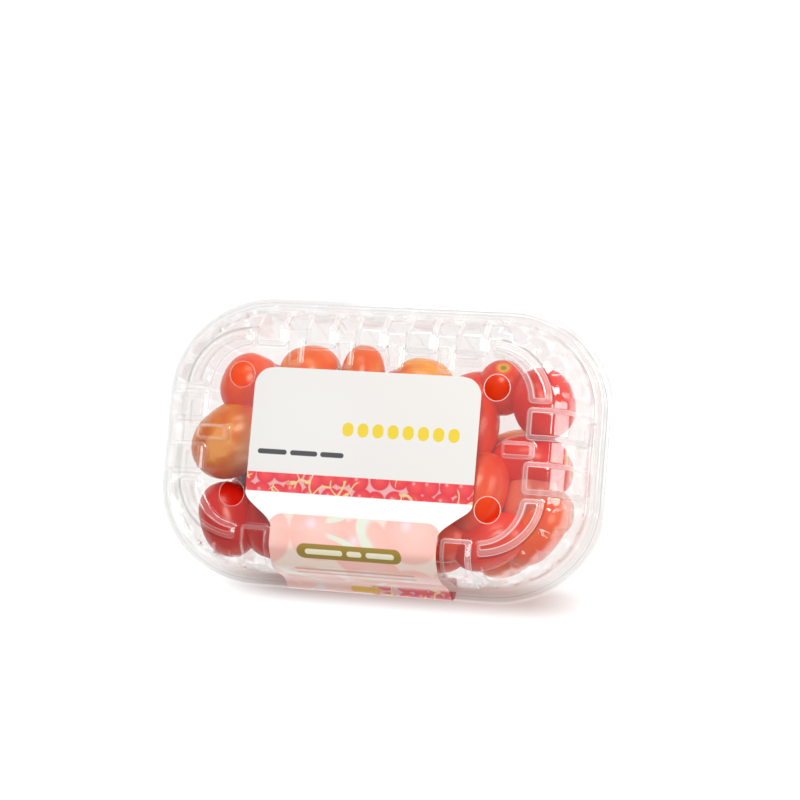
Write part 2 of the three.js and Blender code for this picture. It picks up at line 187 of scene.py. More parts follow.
def drawn_film(name, levels, station_step, relief):
    """A flat grid of film, drawn level after level over the mould and joined round its outline.

    relief(station, level, point) gives how far a point lies inside a panel's edge, in widths of its slope
    (-1 where the slope leaves no mark), and how far it rises."""
    stations = around_pack(station_step)
    deselect_all()
    bpy.ops.mesh.primitive_grid_add(x_subdivisions=len(stations), y_subdivisions=len(levels) - 1, size=1)
    film = bpy.context.object
    film.name = film.data.name = name
    step = film.data.attributes.new("step", "FLOAT", "POINT")
    columns = len(stations) + 1
    for index, vertex in enumerate(film.data.vertices):
        station, at = stations[index % columns % len(stations)], levels[index // columns]
        point, out = on_outline(station, at["length"], at["width"])
        point *= at.get("scale", 1)
        mark, rise = relief(station, at, point)
        point += out * (rise * at["out"])
        vertex.co = Vector((point.x, point.y, at["z"] + rise * at["up"])) * MM
        step.data[index].value = min(max(mark, at["bend"] - 1), 2)
    bpy.ops.object.mode_set(mode="EDIT")
    bpy.ops.mesh.select_all(action="SELECT")
    bpy.ops.mesh.remove_doubles(threshold=MERGE_DISTANCE * MM)
    bpy.ops.object.mode_set(mode="OBJECT")
    return film


def closed_middle(film, levels, facing):
    """Fills the flat middle inside the last level, which faces up (1) or down (-1). Faces turn outwards."""
    last = levels[-1]
    reach_x, reach_y = (last[side] * last.get("scale", 1) + TOLERANCE for side in ("length", "width"))
    select_only(film)
    for vertex in film.data.vertices:
        x, y, z = vertex.co / MM
        vertex.select = abs(x) < reach_x and abs(y) < reach_y and abs(z - last["z"]) < TOLERANCE
    bpy.ops.object.mode_set(mode="EDIT")
    bpy.ops.mesh.edge_face_add()
    bpy.ops.mesh.select_all(action="SELECT")
    bpy.ops.mesh.normals_make_consistent(inside=False)
    bpy.ops.object.mode_set(mode="OBJECT")
    if film.data.polygons[-1].normal.z * facing < 0:
        film.data.flip_normals()


def node(tree, kind, inputs=None, **settings):
    """A shader node with its settings made and its inputs set or linked."""
    made = tree.nodes.new(kind)
    for key, value in settings.items():
        setattr(made, key, value)
    for key, value in (inputs or {}).items():
        if isinstance(value, bpy.types.NodeSocket):
            tree.links.new(value, made.inputs[key])
        else:
            made.inputs[key].default_value = value
    return made


def new_material(name):
    material = bpy.data.materials.new(name)
    material.use_nodes = True
    material.node_tree.nodes.clear()
    return material, material.node_tree


def colour_ramp(tree, factor, stops):
    """A colour ramp whose stops are (position, colour or grey)."""
    ramp = node(tree, "ShaderNodeValToRGB", {"Fac": factor})
    elements = ramp.color_ramp.elements
    for (position, colour), element in zip((stops[0], stops[-1]), elements):
        element.position = position
    for position, colour in stops[1:-1]:
        elements.new(position)
    for (position, colour), element in zip(stops, elements):
        element.color = (*colour, 1) if isinstance(colour, tuple) else (colour, colour, colour, 1)
    return ramp.outputs["Color"]


def clear_film(name, marks):
    """PET: nearly clear and glossy, and whiter on the slope round each panel, partly as real film drawn thin
    there, partly as painted sheen.

    marks says how strongly those slopes and their painted highlight and shade lines show."""
    material, tree = new_material(name)
    clear_haze, clear_tint = 0.018, (0.99, 0.992, 0.99)

    def whiteness(haze_and_sheen):
        return mixed(clear_haze, haze_and_sheen, marks)

    def painted_line_shade(grey):
        return tuple(mixed(clear, shade, marks) for clear, shade in zip(clear_tint, grey))

    step = node(tree, "ShaderNodeAttribute", attribute_name="step").outputs["Fac"]
    slope = node(tree, "ShaderNodeMapRange", {"Value": step, "From Min": -0.5, "From Max": 1.5}).outputs[0]
    # Painted highlights: a bright line at the foot and at the top of each slope. The fainter white band
    # between them is partly the real whitening of film drawn thin and partly a painted sheen.
    haze_and_sheen = colour_ramp(tree, slope, [
        (0, clear_haze), (0.215, clear_haze), (0.25, whiteness(0.55)), (0.295, whiteness(0.1)), (0.5, whiteness(0.19)),
        (0.705, whiteness(0.1)), (0.75, whiteness(0.65)), (0.79, clear_haze),
    ])
    # Painted sheen: the slopes are made whiter towards +X, where the right softbox lights them, and less
    # white towards -X.
    place = node(tree, "ShaderNodeSeparateXYZ", {0: node(tree, "ShaderNodeTexCoord").outputs["Object"]})
    right_side_sheen = node(tree, "ShaderNodeMapRange", {
        "Value": place.outputs["X"], "From Min": -0.06, "From Max": 0.06, "To Min": 0.35, "To Max": 1.15,
    }).outputs[0]
    haze_and_sheen = node(tree, "ShaderNodeMath", {0: haze_and_sheen, 1: right_side_sheen}, operation="MULTIPLY").outputs[0]
    # Painted shade: a fine dark line just outside the foot of each slope, a fainter one just inside its top,
    # and one along each sharp bend.
    tint = colour_ramp(tree, slope, [
        (0, clear_tint), (0.17, clear_tint), (0.193, painted_line_shade((0.78, 0.77, 0.75))), (0.22, clear_tint),
        (0.78, clear_tint), (0.8, painted_line_shade((0.92, 0.9, 0.89))), (0.82, clear_tint),
    ])
    through = node(tree, "ShaderNodeBsdfTransparent", {"Color": tint})
    front = node(tree, "ShaderNodeBsdfDiffuse", {"Color": (1, 1, 1, 1)})
    back = node(tree, "ShaderNodeBsdfTranslucent", {"Color": (1, 1, 1, 1)})
    milk = node(tree, "ShaderNodeMixShader", {"Fac": 0.25, 1: front.outputs[0], 2: back.outputs[0]})
    sheet = node(tree, "ShaderNodeMixShader", {"Fac": haze_and_sheen, 1: through.outputs[0], 2: milk.outputs[0]})
    gloss = node(tree, "ShaderNodeBsdfGlossy", {"Color": (1, 1, 1, 1), "Roughness": 0.07})
    # Light leaves the sheet at the angle at which it came in, so both of its faces reflect alike.
    leaving = node(tree, "ShaderNodeNewGeometry").outputs["Backfacing"]
    index = node(tree, "ShaderNodeMapRange", {"Value": leaving, "To Min": PET_INDEX, "To Max": 1 / PET_INDEX})
    shine = node(tree, "ShaderNodeFresnel", {"IOR": index.outputs[0]}).outputs[0]
    whole = node(tree, "ShaderNodeMixShader", {"Fac": shine, 1: sheet.outputs[0], 2: gloss.outputs[0]})
    node(tree, "ShaderNodeOutputMaterial", {"Surface": whole.outputs[0]})
    return material


TRAY_PROFILE = mould_profile([
    level(RIM_LENGTH, RIM_WIDTH, TRAY_TOP - 3, out=1),
    level(RIM_LENGTH, RIM_WIDTH, TRAY_TOP, out=1, bend=1),
    level(91.2, 56.6, TRAY_TOP, up=1, bend=1),
    level(90.2, 55.8, TRAY_TOP - 1, up=1),
    level(87.6, 54.0, TRAY_TOP - 0.9, up=1, bend=1),
    level(86.4, 53.0, TRAY_TOP - 2.4, ribs=0, corner_ribs=0, out=0.9),
    level(84.8, 51.4, TRAY_TOP - 5, ribs=3, corner_ribs=3, out=0.9),
    level(74.4, 43.4, 4, ribs=3, corner_ribs=3, out=0.8),
    level(71, 40, 0, ribs=0, corner_ribs=0, out=0.6),
    level(66, 34.5, 0),
], TRAY_LEVEL_STEP)
BASE_ROWS, BASE_CLOSED = 36, 0.97  # how much of the base the rows cover, before one face fills the rest


def base_levels():
    """The base goes on inwards in rows that shrink towards its middle."""
    last = TRAY_PROFILE[-1]
    return [{**last, "scale": 1 - BASE_CLOSED * (i + 1) / BASE_ROWS, "up": 1} for i in range(BASE_ROWS)]


def tray_relief(station, at, point):
    """The ribs of the wall or, on the base, the grooves. The narrow corner ribs leave no mark."""
    if "scale" not in at:
        room, height = rib_relief(station, at)
        return -1 if station[0] == "corner" else room, height * smooth(room)
    room = max(GROOVE_HALF_WIDTH - abs(point.x - x) for x in TRAY_GROOVES)
    room = both(room, GROOVE_HALF_LENGTH - abs(point.y)) / RIB_RAMP
    return room, GROOVE_DEPTH * smooth(room)


tray_levels = TRAY_PROFILE + base_levels()
tray = drawn_film("tray_film", tray_levels, TRAY_STATION_STEP, tray_relief)
closed_middle(tray, tray_levels, -1)
apply_modifier(tray, "SOLIDIFY", thickness=FILM * MM, offset=-1)
tray.data.materials.append(clear_film("tray_film", 0.3))
select_only(tray)
bpy.ops.object.shade_smooth()
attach(tray, "root")
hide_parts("tray")

# ---------------------------------------------------------------- the lid
# The clear upper half, drawn from the same sheet. Rib panels climb its wall and run in over the shoulder,
# a long curved panel follows each corner, and pills, bars and four punched vent holes mark the flat top.
LID_BASE, PILL_RISE = TRAY_TOP + 0.3, 2.4
LID_STATION_STEP, LID_LEVEL_STEP = 0.72, 0.76  # finer than the tray's, as the panels on top are seen close
LID_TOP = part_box("lid")[1].z / MM - PILL_RISE
ARC_FROM, ARC_TO, ARC_RAMP = 1, 89, 1.7
PILL_X, PILL_HALF, PILL_CORNER = 64, (6.75, 3.4), 1.8
BAR_XS, BAR_Y, BAR_HALF, BAR_CORNER, BAR_RISE = (10.5, 31.5), 34.3, (3.1, 5.7), 1.4, 1.5  # on all sides
BOSS_RAMP = 1.3
VENT_X, VENT_Y, VENT_RADIUS, HIGHLIGHT_RING_RADIUS = 53.5, 24.2, 5.3, 0.16

LID_PROFILE = mould_profile([
    level(RIM_LENGTH, RIM_WIDTH, LID_BASE, out=1),
    level(RIM_LENGTH, RIM_WIDTH, LID_BASE + 0.9, out=1, bend=1),
    level(92.6, 57.6, LID_BASE + 0.9, up=1, bend=1),
    level(91.6, 56.8, LID_BASE + 1.9, up=1),
    level(90.2, 55.8, LID_BASE + 1.9, up=1, bend=1),
    level(89.4, 55.1, LID_BASE + 0.9, up=1),
    level(87.4, 53.8, LID_BASE + 0.9, up=1, bend=1),
    level(86.8, 53.4, LID_BASE + 1.4, ribs=0, corner_ribs=0, out=0.94, up=0.34),
    level(85.8, 52.4, LID_BASE + 4, ribs=3, corner_ribs=3, out=0.94, up=0.34),
    level(82.4, 49.6, LID_TOP - 4.6, ribs=5, corner_ribs=2.5, arc=-4, out=0.8, up=0.5, bend=1),
    level(77, 43.8, LID_TOP, ribs=5, corner_ribs=0, arc=-0.8, out=0.45, up=0.9, bend=1),
    level(74, 39.8, LID_TOP, ribs=5, corner_ribs=-3, arc=2, up=1),
    level(68.6, 38.3, LID_TOP, ribs=1.8, arc=1.8, up=1),
    level(66.8, 36.5, LID_TOP, ribs=0, arc=0, up=1),
    level(55, 26.5, LID_TOP, ribs=-9, arc=-9, up=1),
], LID_LEVEL_STEP, rounding=2)


def boss_room(point, centre_x, centre_y, half, corner):
    """Room inside a rounded boss on the lid's top."""
    return both(half[0] - abs(abs(point.x) - centre_x), half[1] - abs(abs(point.y) - centre_y), corner)


def lid_relief(station, at, point):
    """The highest of the panels at a point of the lid. The narrow corner ribs leave no mark."""
    found = [rib_relief(station, at)]
    if station[0] == "corner":
        centre, half = (ARC_FROM + ARC_TO) / 2, (ARC_TO - ARC_FROM) / 2
        arc = both(panel_room(station, at["length"], (centre,), half), at["arc"])
        found.append((arc / ARC_RAMP, RIB_RISE))
    if at["up"] == 1 and at["z"] > LID_TOP - 0.1:
        found.append((boss_room(point, PILL_X, 0, PILL_HALF, PILL_CORNER) / BOSS_RAMP, PILL_RISE))
        for x in BAR_XS:
            found.append((boss_room(point, x, BAR_Y, BAR_HALF, BAR_CORNER) / BOSS_RAMP, BAR_RISE))
    room, height = max(found)
    unmarked = station[0] == "corner" and room == found[0][0]
    return -1 if unmarked else room, height * smooth(room)


lid = drawn_film("lid_film", LID_PROFILE, LID_STATION_STEP, lid_relief)
closed_middle(lid, LID_PROFILE, 1)
apply_modifier(lid, "SOLIDIFY", thickness=FILM * MM, offset=-1)
vent_highlight_rings = []
for sx in (-1, 1):
    for sy in (-1, 1):
        middle = Vector((sx * VENT_X, sy * VENT_Y, LID_TOP)) * MM
        deselect_all()
        bpy.ops.mesh.primitive_cylinder_add(
            vertices=64, radius=VENT_RADIUS * MM, depth=6 * FILM * MM, location=middle,
        )
        punch = bpy.context.object
        apply_modifier(lid, "BOOLEAN", operation="DIFFERENCE", object=punch, solver="EXACT")
        bpy.data.objects.remove(punch)
        for vertex, step in zip(lid.data.vertices, lid.data.attributes["step"].data):
            if (vertex.co.xy - middle.xy).length < (VENT_RADIUS + 0.1) * MM:
                step.value = -1
        # A fine ring round the hole, given the whiteness of a painted highlight line, is a painted highlight
        # where the punched edge catches the light.
        deselect_all()
        bpy.ops.mesh.primitive_torus_add(
            major_segments=64, minor_segments=8, major_radius=(VENT_RADIUS + 0.05) * MM,
            minor_radius=HIGHLIGHT_RING_RADIUS * MM, location=middle - Vector((0, 0, 0.1 * MM)),
        )
        bpy.ops.object.transform_apply(location=True)
        highlight_ring = bpy.context.object
        highlight_ring_step = highlight_ring.data.attributes.new("step", "FLOAT", "POINT")
        highlight_ring_step.data.foreach_set("value", [0] * len(highlight_ring.data.vertices))
        vent_highlight_rings.append(highlight_ring)
select_only(lid)
for highlight_ring in vent_highlight_rings:
    highlight_ring.select_set(True)
bpy.ops.object.join()
lid.data.materials.clear()
lid.data.materials.append(clear_film("lid_film", 1))
select_only(lid)
bpy.ops.object.shade_smooth_by_angle(angle=math.radians(50))
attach(lid, "root")
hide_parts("lid")

# ---------------------------------------------------------------- the tomatoes
# Cherry plum tomatoes, heaped loose in the tray and pressed a little against the lid. Most are ripe and
# red, some are still orange, and one large one is mottled olive. A core painted in dark red shade fills the
# heap's middle.
LOWER_LENGTH, LOWER_GIRTH, WALL_CLEARANCE = 31, 23.5, 1.4
SCAR_REACH = 0.16  # of the scar round the stalk's place, in lengths of the tomato
SEED = 7
TOP_LAYER = (  # x, y, z, heading and tilt in degrees, length, girth, kind, ripeness
    (-55.5, 21.5, 56, 70, 0, 27, 24, "red", 0.75),  # rear left corner
    (-60.5, -1, 56, 40, 0, 38, 29, "olive", 0.5),  # the big olive one
    (-64, -37.5, 50, 112, 0, 32, 23.5, "red", 0.2),  # front left corner
    (-42.5, -34.5, 53, 95, 0, 28, 21, "red", 0.1),
    (-29.5, 27, 57, 10, 0, 26, 24, "orange", 0.75),  # behind the label
    (-7, 27, 57, 90, 0, 27, 18, "orange", 0.8),
    (19, 26, 57, 170, 0, 25, 20, "orange", 1),
    (38, 21, 50, 20, 0, 30, 22, "red", 0.5),
    (50.3, 26.5, 51, 75, 50, 24, 20, "orange", 0.2),  # rear right corner, on end
    (68.8, 20.5, 56, 112, 0, 29, 25, "red", 0.3),
    (63, -2, 49, 5, 0, 32, 21, "red", 0.3),
    (40, 8, 56, 80, 0, 32, 22, "orange", 0.2),
    (45.5, -16.5, 57.5, 76, 0, 34, 23, "orange", 0.4),  # the bright orange one
    (63, -17, 46, 75, 0, 28, 22, "dusky", 0.5),
    (51, -35.5, 53, 28, 0, 33, 21, "red", 0.45),  # front right corner
    (66, -29, 45, 55, 0, 33, 23, "orange", 0.6),
    (29, -34, 54, 165, 0, 30, 22, "orange", 0.3),
    (-33, 2, 56, 70, 0, 31, 24, "red", 0.2),  # under the label
    (-28, -21, 56, 20, 0, 31, 23, "red", 0.5),
    (-9, 0, 55, 100, 0, 30, 24, "red", 0),
    (-11, -33, 54, 5, 0, 31, 22, "red", 0.3),
    (15, -3, 56, 30, 0, 31, 24, "orange", 0.3),
    (10, -23, 55, 150, 0, 31, 23, "red", 0.2),
    (-45.5, -15.5, 50, 100, 0, 24, 19, "dusky", 0.3),  # between the olive one and the front left corner
)
LOWER_LAYERS = (  # z, rows, columns, row pitch, column pitch, y
    (36, 4, 5, 21.5, 29.5, -10.5),
    (16.2, 3, 4, 26, 34, -3),
)


GAP_TOP, GAP_FOOT, GAP_RADIUS = (60.4, 13.8, 72), (41.7, 20.8, 0), 4.5  # a slanting hole through the heap
PUSHES, PUSH = 60, 12


def seeded_random(seed):
    """Numbers from 0 to 1, the same in each run."""
    state = seed
    while True:
        state = (state * 1664525 + 1013904223) % 2**32
        yield state / 2**32


def cavity_at(z):
    """The half length and half width inside the pack at a height."""
    walls = ((71, 40, 0), (74.4, 43.4, 4), (84.8, 51.4, 40), (86.8, 53.4, 44.4), (85.8, 52.4, 49.3),
             (82.4, 49.6, 67.4), (77, 43.8, 72))
    for low, high in zip(walls, walls[1:]):
        if z <= high[2]:
            break
    share = min((z - low[2]) / (high[2] - low[2]), 1)
    return [mixed(low[i], high[i], share) - WALL_CLEARANCE for i in (0, 1)]


def moved_inside(x, y, z, heading, tilt, length, girth):
    """Moves a tomato in from the wall until points round its girth are all inside the cavity."""
    turn, lean = math.radians(heading), math.radians(tilt)
    reach = math.hypot(length * math.cos(lean), girth * math.sin(lean))
    for _ in range(PUSHES):
        push_x = push_y = 0
        for height in (-0.45, 0, 0.45):
            room_x, room_y = cavity_at(z + height * girth)
            share = math.sqrt(1 - (2 * height) ** 2) / 2
            for k in range(16):
                angle = k / 16 * 2 * math.pi
                along, across = math.cos(angle) * reach * share, math.sin(angle) * girth * share
                px = x + along * math.cos(turn) - across * math.sin(turn)
                py = y + along * math.sin(turn) + across * math.cos(turn)
                u = max(abs(px) - CORNER_X, 0) / (room_x - CORNER_X)
                v = max(abs(py) - CORNER_Y, 0) / (room_y - CORNER_Y)
                over = math.hypot(u, v) - 1
                if over > 0:
                    push_x = push_x if abs(push_x) > over * u else -math.copysign(over * u, px)
                    push_y = push_y if abs(push_y) > over * v else -math.copysign(over * v, py)
        x, y = x + push_x * PUSH, y + push_y * PUSH
    return x, y, z, heading, tilt, length, girth


def in_gap(x, y, z, heading, tilt, length, girth):
    """Whether a tomato would close the gap between the three at the right, which runs through the heap."""
    share = (GAP_TOP[2] - z) / (GAP_TOP[2] - GAP_FOOT[2])
    gap_x, gap_y = (mixed(GAP_TOP[i], GAP_FOOT[i], share) for i in (0, 1))
    turn = math.radians(heading)
    along = (gap_x - x) * math.cos(turn) + (gap_y - y) * math.sin(turn)
    across = (gap_y - y) * math.cos(turn) - (gap_x - x) * math.sin(turn)
    return math.hypot(along / (length / 2 + GAP_RADIUS), across / (girth / 2 + GAP_RADIUS)) < 1


def all_tomatoes():
    """Every tomato, as (where it lies, its kind and its ripeness)."""
    draws = seeded_random(SEED)

    def spread(reach):
        return (next(draws) - 0.5) * 2 * reach

    placed = [(moved_inside(*row[:7]), row[7], row[8]) for row in TOP_LAYER]
    for z, rows, columns, row_pitch, column_pitch, y in LOWER_LAYERS:
        for i in range(rows * columns):
            row = i // columns
            lies = (
                (i % columns - (columns - 1) / 2 + (0.2 if row % 2 else -0.2)) * column_pitch + spread(1.5),
                y + (row - (rows - 1) / 2) * row_pitch + spread(1.5),
                z + spread(0.5),
                spread(35),
                0,
                LOWER_LENGTH + spread(2),
                LOWER_GIRTH + spread(1),
            )
            lies = moved_inside(*lies)
            if not in_gap(*lies):
                placed.append((lies, "orange" if i % 4 == 2 else "red", 0.1 + 0.2 * (i % 5)))
    return placed


def plum_tomato():
    """One plum tomato of unit size, lying along X: fuller than an egg, dimpled where its stalk was."""
    deselect_all()
    lying = (0, math.pi / 2, 0)
    bpy.ops.mesh.primitive_uv_sphere_add(segments=36, ring_count=26, radius=0.5, rotation=lying)
    bpy.ops.object.transform_apply(rotation=True)
    plum = bpy.context.object
    scar = plum.data.attributes.new("scar", "FLOAT", "POINT")
    for vertex in plum.data.vertices:
        x, y, z = vertex.co
        thick = math.hypot(y, z)
        fuller = math.sqrt(max(1 - abs(2 * x) ** 2.35, 0)) / max(math.sqrt(max(1 - 4 * x * x, 0)), 1e-3)
        fuller = min(fuller, 1.25) if thick > 1e-6 else 1
        dimple = 0.035 * math.exp(-((thick / 0.09) ** 2)) if x > 0 else 0
        tip = 0.015 * math.exp(-((thick / 0.05) ** 2)) if x < 0 else 0
        vertex.co = Vector((x - dimple - tip, y * fuller, z * fuller))
        scar.data[vertex.index].value = max(1 - thick / SCAR_REACH, 0) if x > 0 else 0
    return plum


def overlaid(tree, under, over, mask):
    """One colour over another where the mask is 1."""
    return node(tree, "ShaderNodeMix", {"Factor": mask, 6: under, 7: over}, data_type="RGBA").outputs[2]


def tomato_skin(name, colours, patches):
    """Waxy skin: a colour that drifts from place to place, fine pale specks, a scar where the stalk was."""
    material, tree = new_material(name)
    skin = node(tree, "ShaderNodeAttribute", attribute_name="skin").outputs["Vector"]
    ripeness = node(tree, "ShaderNodeAttribute", attribute_name="ripeness").outputs["Fac"]
    cloud = node(tree, "ShaderNodeTexNoise", {"Vector": skin, "Scale": 2.2, "Detail": 3, "Roughness": 0.5})
    drift = node(tree, "ShaderNodeMath", {0: cloud.outputs["Fac"], 1: -0.5}, operation="ADD").outputs[0]
    drift = node(tree, "ShaderNodeMath", {0: drift, 1: patches, 2: ripeness}, operation="MULTIPLY_ADD")
    base = colour_ramp(tree, drift.outputs[0], colours)
    speck = node(tree, "ShaderNodeTexVoronoi", {"Vector": skin, "Scale": 26, "Randomness": 1})
    dots = colour_ramp(tree, speck.outputs["Distance"], [(0, 0.35), (0.09, 0)])
    base = overlaid(tree, base, (0.98, 0.5, 0.2, 1), dots)
    scar = node(tree, "ShaderNodeAttribute", attribute_name="scar").outputs["Fac"]
    for start, end, colour in ((0.05, 0.5, (0.9, 0.42, 0.04, 1)), (0.5, 0.75, (0.3, 0.24, 0.02, 1))):
        mask = node(tree, "ShaderNodeMapRange", {"Value": scar, "From Min": start, "From Max": end})
        base = overlaid(tree, base, colour, mask.outputs[0])
    shader = node(tree, "ShaderNodeBsdfPrincipled", {
        "Base Color": base, "Roughness": 0.25, "Specular Tint": (1, 0.85, 0.7, 1),
        "Specular IOR Level": 0.5, "Subsurface Weight": 0.1, "Subsurface Scale": 0.004,
    })
    node(tree, "ShaderNodeOutputMaterial", {"Surface": shader.outputs[0]})
    return material


SKINS = {
    "red": tomato_skin("red_skin", [
        (0, (0.58, 0.002, 0.001)), (0.3, (0.82, 0.01, 0.003)), (0.7, (0.92, 0.06, 0.012)),
        (1, (0.96, 0.18, 0.03)),
    ], 0.5),
    "orange": tomato_skin("orange_skin", [
        (0, (0.8, 0.02, 0.003)), (0.4, (0.86, 0.05, 0.004)), (0.8, (0.94, 0.15, 0.01)),
        (1, (0.97, 0.36, 0.05)),
    ], 0.8),
    "dusky": tomato_skin("dusky_skin", [
        (0.2, (0.62, 0.07, 0.045)), (0.5, (0.74, 0.13, 0.09)), (0.8, (0.92, 0.2, 0.07)),
    ], 0.6),
    "olive": tomato_skin("olive_skin", [
        (0.1, (0.82, 0.07, 0.01)), (0.35, (0.74, 0.14, 0.001)), (0.55, (0.78, 0.2, 0.003)),
        (0.72, (0.93, 0.36, 0.09)),
    ], 2.2),
}
plum = plum_tomato()
heap = {kind: [] for kind in SKINS}
for number, ((x, y, z, heading, tilt, length, girth), kind, ripeness) in enumerate(all_tomatoes()):
    tomato = bpy.data.objects.new(kind, plum.data.copy())
    bpy.context.collection.objects.link(tomato)
    skin = tomato.data.attributes.new("skin", "FLOAT_VECTOR", "POINT")
    own_pattern = Vector((number * 3, 0, 0))
    skin.data.foreach_set("vector", [c for v in tomato.data.vertices for c in v.co + own_pattern])
    age = tomato.data.attributes.new("ripeness", "FLOAT", "POINT")
    age.data.foreach_set("value", [ripeness] * len(tomato.data.vertices))
    place = Matrix.Translation(Vector((x, y, z)) * MM) @ Matrix.Rotation(math.radians(heading), 4, "Z")
    place @= Matrix.Rotation(math.radians(-tilt), 4, "Y")
    tomato.data.transform(place @ Matrix.Diagonal((length * MM, girth * MM, girth * MM, 1)))
    heap[kind].append(tomato)
bpy.data.objects.remove(plum)
for kind, tomatoes in heap.items():
    deselect_all()
    for tomato in tomatoes:
        tomato.select_set(True)
    bpy.context.view_layer.objects.active = tomatoes[0]
    if len(tomatoes) > 1:
        bpy.ops.object.join()
    pile = bpy.context.view_layer.objects.active
    pile.name = f"{kind}_tomatoes"
    bpy.ops.object.shade_smooth()
    pile.data.materials.append(SKINS[kind])
    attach(pile, "root")
    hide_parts("tomatoes")

# The core is painted a dark deep red: painted shade for what shows of it between the tomatoes.
deselect_all()
bpy.ops.mesh.primitive_uv_sphere_add(segments=48, ring_count=24, radius=1)
core = bpy.context.object
core.name = "heap_core"
CORE_HALF, CORE_MIDDLE = Vector((50, 33, 26)), Vector((-16, -3, 34))
for vertex in core.data.vertices:
    direction = vertex.co.copy()
    squarer = max(abs(direction.x), abs(direction.y), abs(direction.z))
    boxed = direction * mixed(1, 1 / squarer, 0.35)
    vertex.co = (boxed * CORE_HALF + CORE_MIDDLE) * MM
bpy.ops.object.shade_smooth()
core_look, tree = new_material("core_shade")
cloud = node(tree, "ShaderNodeTexNoise", {"Scale": 90})
shade = colour_ramp(tree, cloud.outputs["Fac"], [(0.3, (0.16, 0.004, 0.002)), (0.7, (0.3, 0.012, 0.005))])
shaded_core = node(tree, "ShaderNodeBsdfPrincipled", {"Base Color": shade, "Roughness": 0.5})
node(tree, "ShaderNodeOutputMaterial", {"Surface": shaded_core.outputs[0]})
core.data.materials.append(core_look)
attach(core, "root")
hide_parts("tomatoes")

# ---------------------------------------------------------------- the label
# One glossy self-adhesive label of printed paper. It lies flat on the lid, climbs over the front bars, bows
# down the shoulder and the wall to the rim and is stuck down round it, so that it seals the pack.
LABEL_HALF, LABEL_REAR, LABEL_CORNER, TAB_HALF = 47.5, 27.8, 8, 34.8
NECK_START, NECK_LENGTH = 50.8, 14  # where it narrows to the tab, from its rear edge
LABEL_THICKNESS, LABEL_STEP = 0.2, 0.7
LABEL_PATH = (  # (y, z) of its underside, from the rear edge to the tab's end
    (LABEL_REAR, LID_TOP + 0.3),
    (-24.5, LID_TOP + 0.3),
    (-28.2, LID_TOP + BAR_RISE + 0.3),
    (-36.5, LID_TOP + RIB_RISE + 0.3),
    (-44.6, LID_TOP + RIB_RISE + 0.3),
    (-51.9, LID_TOP - 3.4),
    (-54.2, LID_TOP - 10),
    (-55.2, LID_TOP - 18),
    (-56.8, LID_BASE + 4.3),
    (-RIM_WIDTH - 0.3, LID_BASE + 1.2),
    (-RIM_WIDTH - 0.3, TRAY_TOP - 3.2),
    (-RIM_WIDTH + 1.2, TRAY_TOP - 4.4),
    (-56.2, TRAY_TOP - 5),
)


def label_line():
    """The label's underside as even steps of (y, z), its bends rounded."""
    points = []
    for (y0, z0), (y1, z1) in zip(LABEL_PATH, LABEL_PATH[1:]):
        count = max(round(math.dist((y0, z0), (y1, z1)) / LABEL_STEP), 1)
        points += [(mixed(y0, y1, i / count), mixed(z0, z1, i / count)) for i in range(count)]
    points.append(LABEL_PATH[-1])
    for _ in range(5):
        middle = [((a[0] + 2 * b[0] + c[0]) / 4, (a[1] + 2 * b[1] + c[1]) / 4)
                  for a, b, c in zip(points, points[1:], points[2:])]
        points = [points[0], *middle, points[-1]]
    return points


def label_half_width(y, along):
    """Rounded at its rear corners, then wide, then sweeping in to the tab."""
    into_corner = y - (LABEL_REAR - LABEL_CORNER)
    if into_corner > 0:
        return LABEL_HALF - LABEL_CORNER + math.sqrt(max(LABEL_CORNER**2 - into_corner**2, 0))
    return mixed(LABEL_HALF, TAB_HALF, smooth((along - NECK_START) / NECK_LENGTH))


line = label_line()
along = [0]
for a, b in zip(line, line[1:]):
    along.append(along[-1] + math.dist(a, b))
columns = round(2 * LABEL_HALF / LABEL_STEP)
deselect_all()
bpy.ops.mesh.primitive_grid_add(x_subdivisions=columns, y_subdivisions=len(line) - 1, size=2)
label = bpy.context.object
label.name = "label_paper"
printed = label.data.attributes.new("print", "FLOAT_VECTOR", "POINT")
for index, vertex in enumerate(label.data.vertices):
    row = index // (columns + 1)
    y, z = line[row]
    x = vertex.co.x * label_half_width(y, along[row])
    vertex.co = Vector((x, y, z)) * MM
    printed.data[index].vector = (x, along[row], 0)
select_only(label)
bpy.ops.object.mode_set(mode="EDIT")
bpy.ops.mesh.select_all(action="SELECT")
bpy.ops.mesh.normals_make_consistent(inside=False)
bpy.ops.object.mode_set(mode="OBJECT")
if label.data.polygons[0].normal.z < 0:
    label.data.flip_normals()
apply_modifier(label, "SOLIDIFY", thickness=LABEL_THICKNESS * MM, offset=1)
select_only(label)
bpy.ops.object.shade_smooth_by_angle(angle=math.radians(50))


STRIP = (42.8, 50.3)  # places on the print run from the rear edge, in mm along the label
TAB_PRINT, TAB_PRINT_HALF, TAB_FOOT = 59.3, 36, 101
PILL, PILL_BARS, RULES = (-23, 20.5, 70.6, 76.7), ((-19.5, -4), (-2, 4), (6, 17.5)), (82, 85.5)
OVALS, FIRST_OVAL, OVAL_PITCH, OVAL_HALF = 8, -6.4, 6.3, 2.2
GREY_BARS = ((-43.6, -31.5), (-29.8, -18.5), (-17, -7.4))


